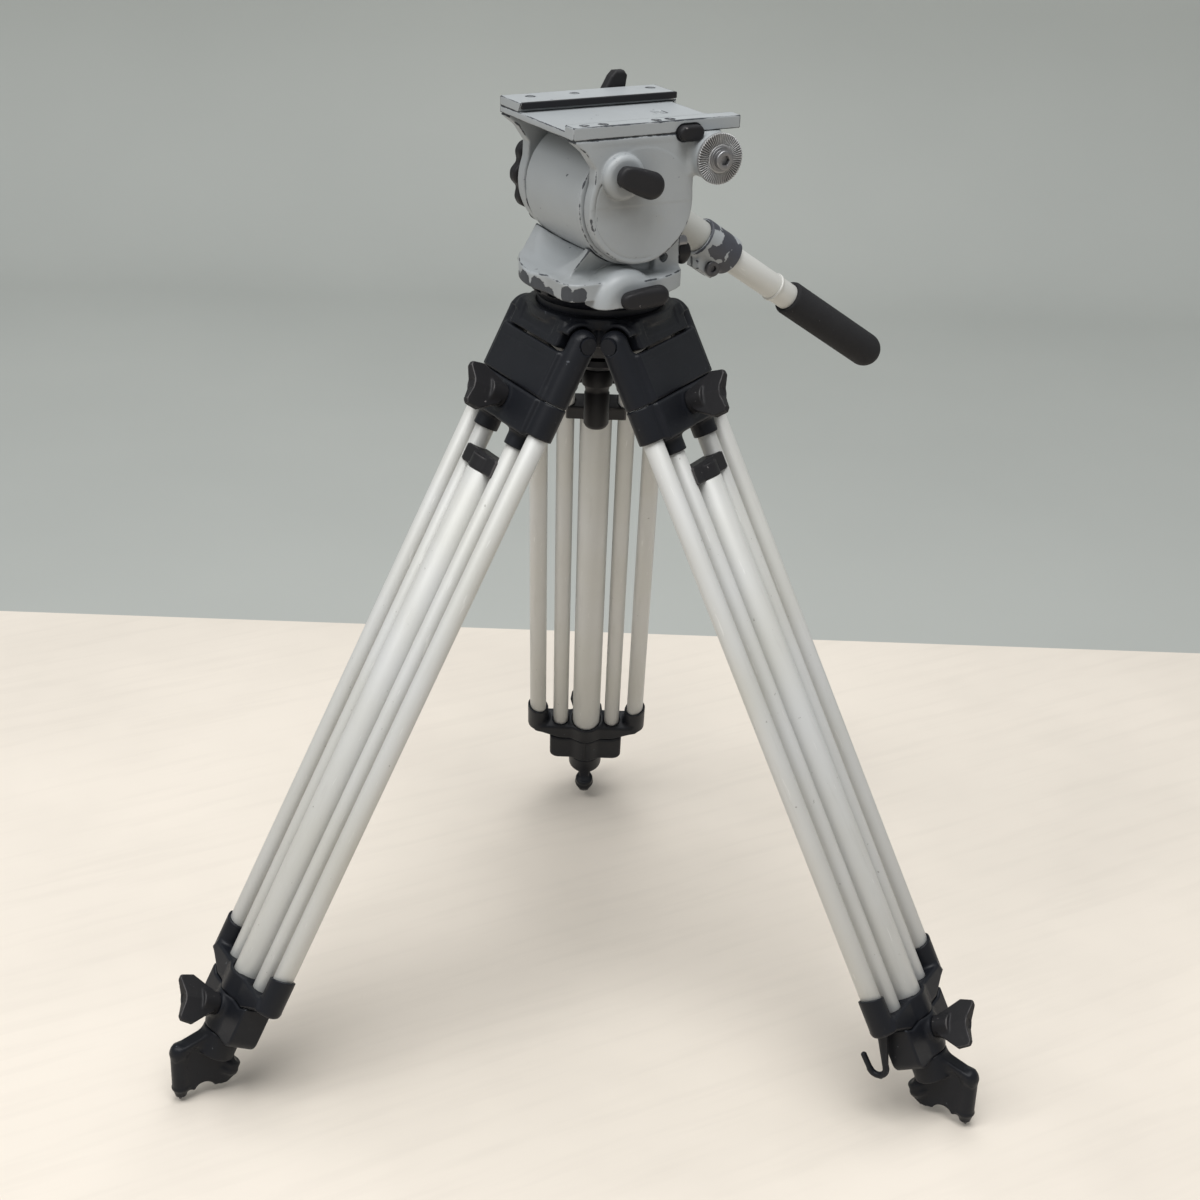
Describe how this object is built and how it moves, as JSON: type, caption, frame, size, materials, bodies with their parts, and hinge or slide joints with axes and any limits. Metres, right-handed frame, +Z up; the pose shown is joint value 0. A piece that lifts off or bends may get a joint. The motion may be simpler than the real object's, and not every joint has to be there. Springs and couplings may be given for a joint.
{
  "type": "camera tripod with fluid head",
  "caption": "Low camera tripod with telescoping twin-tube legs, a levelling bowl and a fluid pan-and-tilt head with a pan bar.",
  "frame": {"origin": "on the floor under the pan axis, midway between the three feet", "axes": "+Z up along the pan axis, -Y towards the lens, +X towards the side with the drag controls; the pan bar is on -X and points to +Y"},
  "size_m": [0.6729, 0.7378, 0.8151],
  "materials": {
    "head_paint": "hammered light grey enamel over die-cast alloy, chipped at the edges",
    "tube_anodised": "pale anodised tube, satin",
    "black_casting": "satin black cast alloy",
    "black_plastic": "moulded nylon, slight sheen",
    "foam_grip": "closed-cell foam",
    "steel": "plated steel fasteners and points",
    "level_vial": "clear vial with yellow-green fluid"
  },
  "bodies": {
    "crown": {"crown": "black_casting", "hinge_pins": "black_casting"},
    "leg_a_upper": {"leg_a_top_casting": "black_casting", "leg_a_outer_tubes": "tube_anodised", "leg_a_outer_yoke": "black_casting"},
    "leg_a_middle": {"leg_a_mid_yoke": "black_casting", "leg_a_inner_tubes": "tube_anodised", "leg_a_mid_clamp": "black_casting"},
    "leg_a_lower": {"leg_a_guide_block": "black_plastic", "leg_a_centre_tube": "tube_anodised", "leg_a_foot": "black_casting"},
    "leg_a_upper_clamp": {"leg_a_upper_knob": "black_plastic"},
    "leg_a_lower_clamp": {"leg_a_lower_knob": "black_plastic"},
    "leg_b_upper": {"leg_b_top_casting": "black_casting", "leg_b_outer_tubes": "tube_anodised", "leg_b_outer_yoke": "black_casting", "leg_b_hook": "black_casting"},
    "leg_b_middle": {"leg_b_mid_yoke": "black_casting", "leg_b_inner_tubes": "tube_anodised", "leg_b_mid_clamp": "black_casting"},
    "leg_b_lower": {"leg_b_guide_block": "black_plastic", "leg_b_centre_tube": "tube_anodised", "leg_b_foot": "black_casting"},
    "leg_b_upper_clamp": {"leg_b_upper_knob": "black_plastic"},
    "leg_b_lower_clamp": {"leg_b_lower_knob": "black_plastic"},
    "leg_c_upper": {"leg_c_top_casting": "black_casting", "leg_c_outer_tubes": "tube_anodised", "leg_c_outer_yoke": "black_casting"},
    "leg_c_middle": {"leg_c_mid_yoke": "black_casting", "leg_c_inner_tubes": "tube_anodised", "leg_c_mid_clamp": "black_casting"},
    "leg_c_lower": {"leg_c_guide_block": "black_plastic", "leg_c_centre_tube": "tube_anodised", "leg_c_foot": "black_casting"},
    "leg_c_upper_clamp": {"leg_c_upper_knob": "black_plastic"},
    "leg_c_lower_clamp": {"leg_c_lower_knob": "black_plastic"},
    "levelling_ball": {"half_ball": "black_casting", "plinth": "black_casting", "tie_down": "steel"},
    "tie_down_handle": {"tie_handle": "black_plastic"},
    "pan_head": {"pan_housing": "head_paint", "spirit_level": "level_vial", "tilt_drum": "head_paint"},
    "pan_drag": {"pan_knob": "black_plastic"},
    "pan_lock": {"pan_brake": "black_plastic"},
    "tilt_head": {"cheek_near": "head_paint", "cheek_far": "head_paint", "tilt_shaft": "steel", "platform": "head_paint", "plate_screws": "steel", "plate_rail": "head_paint", "rosettes": "steel"},
    "tilt_drag": {"tilt_knob": "black_plastic"},
    "counterbalance": {"drag_wheel": "black_plastic"},
    "plate_lock": {"plate_lever": "black_plastic"},
    "plate_release": {"release_button": "black_plastic"},
    "pan_bar": {"pan_arm": "tube_anodised", "pan_clamp": "black_casting"},
    "pan_bar_extension": {"pan_tube": "tube_anodised", "grip": "foam_grip"}
  },
  "joints": [
    {"name": "leg_a_spread", "type": "hinge", "parent": "crown", "child": "leg_a_upper", "pos_m": [0, -0.043, 0.63217], "axis": [1, 0, 0], "range_deg": [0, 26]},
    {"name": "leg_a_middle_slide", "type": "slide", "parent": "leg_a_upper", "child": "leg_a_middle", "axis": [0, -0.4602, -0.8878], "range_m": [0, 0.42]},
    {"name": "leg_a_lower_slide", "type": "slide", "parent": "leg_a_middle", "child": "leg_a_lower", "axis": [0, -0.4602, -0.8878], "range_m": [0, 0.42]},
    {"name": "leg_a_upper_clamp_turn", "type": "hinge", "parent": "leg_a_middle", "child": "leg_a_upper_clamp", "pos_m": [0, -0.08606, 0.5806], "axis": [0, -0.8878, 0.4602], "range_deg": [0, 180]},
    {"name": "leg_a_lower_clamp_turn", "type": "hinge", "parent": "leg_a_middle", "child": "leg_a_lower_clamp", "pos_m": [0, -0.34241, 0.08497], "axis": [0, -0.8878, 0.4602], "range_deg": [0, 180]},
    {"name": "leg_b_spread", "type": "hinge", "parent": "crown", "child": "leg_b_upper", "pos_m": [0.03724, 0.0215, 0.63217], "axis": [-0.5, 0.866, 0], "range_deg": [0, 26]},
    {"name": "leg_b_middle_slide", "type": "slide", "parent": "leg_b_upper", "child": "leg_b_middle", "axis": [0.3985, 0.2301, -0.8878], "range_m": [0, 0.42]},
    {"name": "leg_b_lower_slide", "type": "slide", "parent": "leg_b_middle", "child": "leg_b_lower", "axis": [0.3985, 0.2301, -0.8878], "range_m": [0, 0.42]},
    {"name": "leg_b_upper_clamp_turn", "type": "hinge", "parent": "leg_b_middle", "child": "leg_b_upper_clamp", "pos_m": [0.07453, 0.04303, 0.5806], "axis": [0.7689, 0.4439, 0.4602], "range_deg": [0, 180]},
    {"name": "leg_b_lower_clamp_turn", "type": "hinge", "parent": "leg_b_middle", "child": "leg_b_lower_clamp", "pos_m": [0.29654, 0.1712, 0.08497], "axis": [0.7689, 0.4439, 0.4602], "range_deg": [0, 180]},
    {"name": "leg_c_spread", "type": "hinge", "parent": "crown", "child": "leg_c_upper", "pos_m": [-0.03724, 0.0215, 0.63217], "axis": [-0.5, -0.866, 0], "range_deg": [0, 26]},
    {"name": "leg_c_middle_slide", "type": "slide", "parent": "leg_c_upper", "child": "leg_c_middle", "axis": [-0.3985, 0.2301, -0.8878], "range_m": [0, 0.42]},
    {"name": "leg_c_lower_slide", "type": "slide", "parent": "leg_c_middle", "child": "leg_c_lower", "axis": [-0.3985, 0.2301, -0.8878], "range_m": [0, 0.42]},
    {"name": "leg_c_upper_clamp_turn", "type": "hinge", "parent": "leg_c_middle", "child": "leg_c_upper_clamp", "pos_m": [-0.07453, 0.04303, 0.5806], "axis": [-0.7689, 0.4439, 0.4602], "range_deg": [0, 180]},
    {"name": "leg_c_lower_clamp_turn", "type": "hinge", "parent": "leg_c_middle", "child": "leg_c_lower_clamp", "pos_m": [-0.29654, 0.1712, 0.08497], "axis": [-0.7689, 0.4439, 0.4602], "range_deg": [0, 180]},
    {"name": "bowl_level", "type": "hinge", "parent": "crown", "child": "levelling_ball", "pos_m": [0, 0, 0.65117], "axis": [1, 0, 0], "range_deg": [-5, 5]},
    {"name": "tie_down_turn", "type": "hinge", "parent": "levelling_ball", "child": "tie_down_handle", "pos_m": [0, 0, 0.58117], "axis": [0, 0, 1], "continuous": true},
    {"name": "pan", "type": "hinge", "parent": "levelling_ball", "child": "pan_head", "pos_m": [0, 0, 0.66697], "axis": [0, 0, 1], "continuous": true},
    {"name": "pan_drag_turn", "type": "hinge", "parent": "pan_head", "child": "pan_drag", "pos_m": [0.066, -0.011, 0.66897], "axis": [1, 0, 0], "range_deg": [0, 180]},
    {"name": "pan_lock_turn", "type": "hinge", "parent": "pan_head", "child": "pan_lock", "pos_m": [0.033, 0.045, 0.69497], "axis": [0, 1, 0], "range_deg": [0, 180]},
    {"name": "tilt", "type": "hinge", "parent": "pan_head", "child": "tilt_head", "pos_m": [0, 0, 0.73717], "axis": [1, 0, 0], "range_deg": [-28, 75]},
    {"name": "tilt_drag_turn", "type": "hinge", "parent": "tilt_head", "child": "tilt_drag", "pos_m": [0.067, -0.019, 0.76217], "axis": [1, 0, 0], "range_deg": [-90, 180]},
    {"name": "counterbalance_turn", "type": "hinge", "parent": "tilt_head", "child": "counterbalance", "pos_m": [-0.069, 0, 0.73717], "axis": [1, 0, 0], "continuous": true},
    {"name": "plate_lock_turn", "type": "hinge", "parent": "tilt_head", "child": "plate_lock", "pos_m": [-0.064, 0.042, 0.78857], "axis": [1, 0, 0], "range_deg": [0, 90]},
    {"name": "plate_release_press", "type": "slide", "parent": "tilt_head", "child": "plate_release", "axis": [-1, 0, 0], "range_m": [0, 0.003], "stiffness_N_per_m": 400},
    {"name": "pan_bar_angle", "type": "hinge", "parent": "tilt_head", "child": "pan_bar", "pos_m": [-0.09, 0.058, 0.77117], "axis": [-1, 0, 0], "range_deg": [-80, 28]},
    {"name": "pan_bar_slide", "type": "slide", "parent": "pan_bar", "child": "pan_bar_extension", "axis": [0, 0.8339, -0.5519], "range_m": [0, 0.05]}
  ]
}
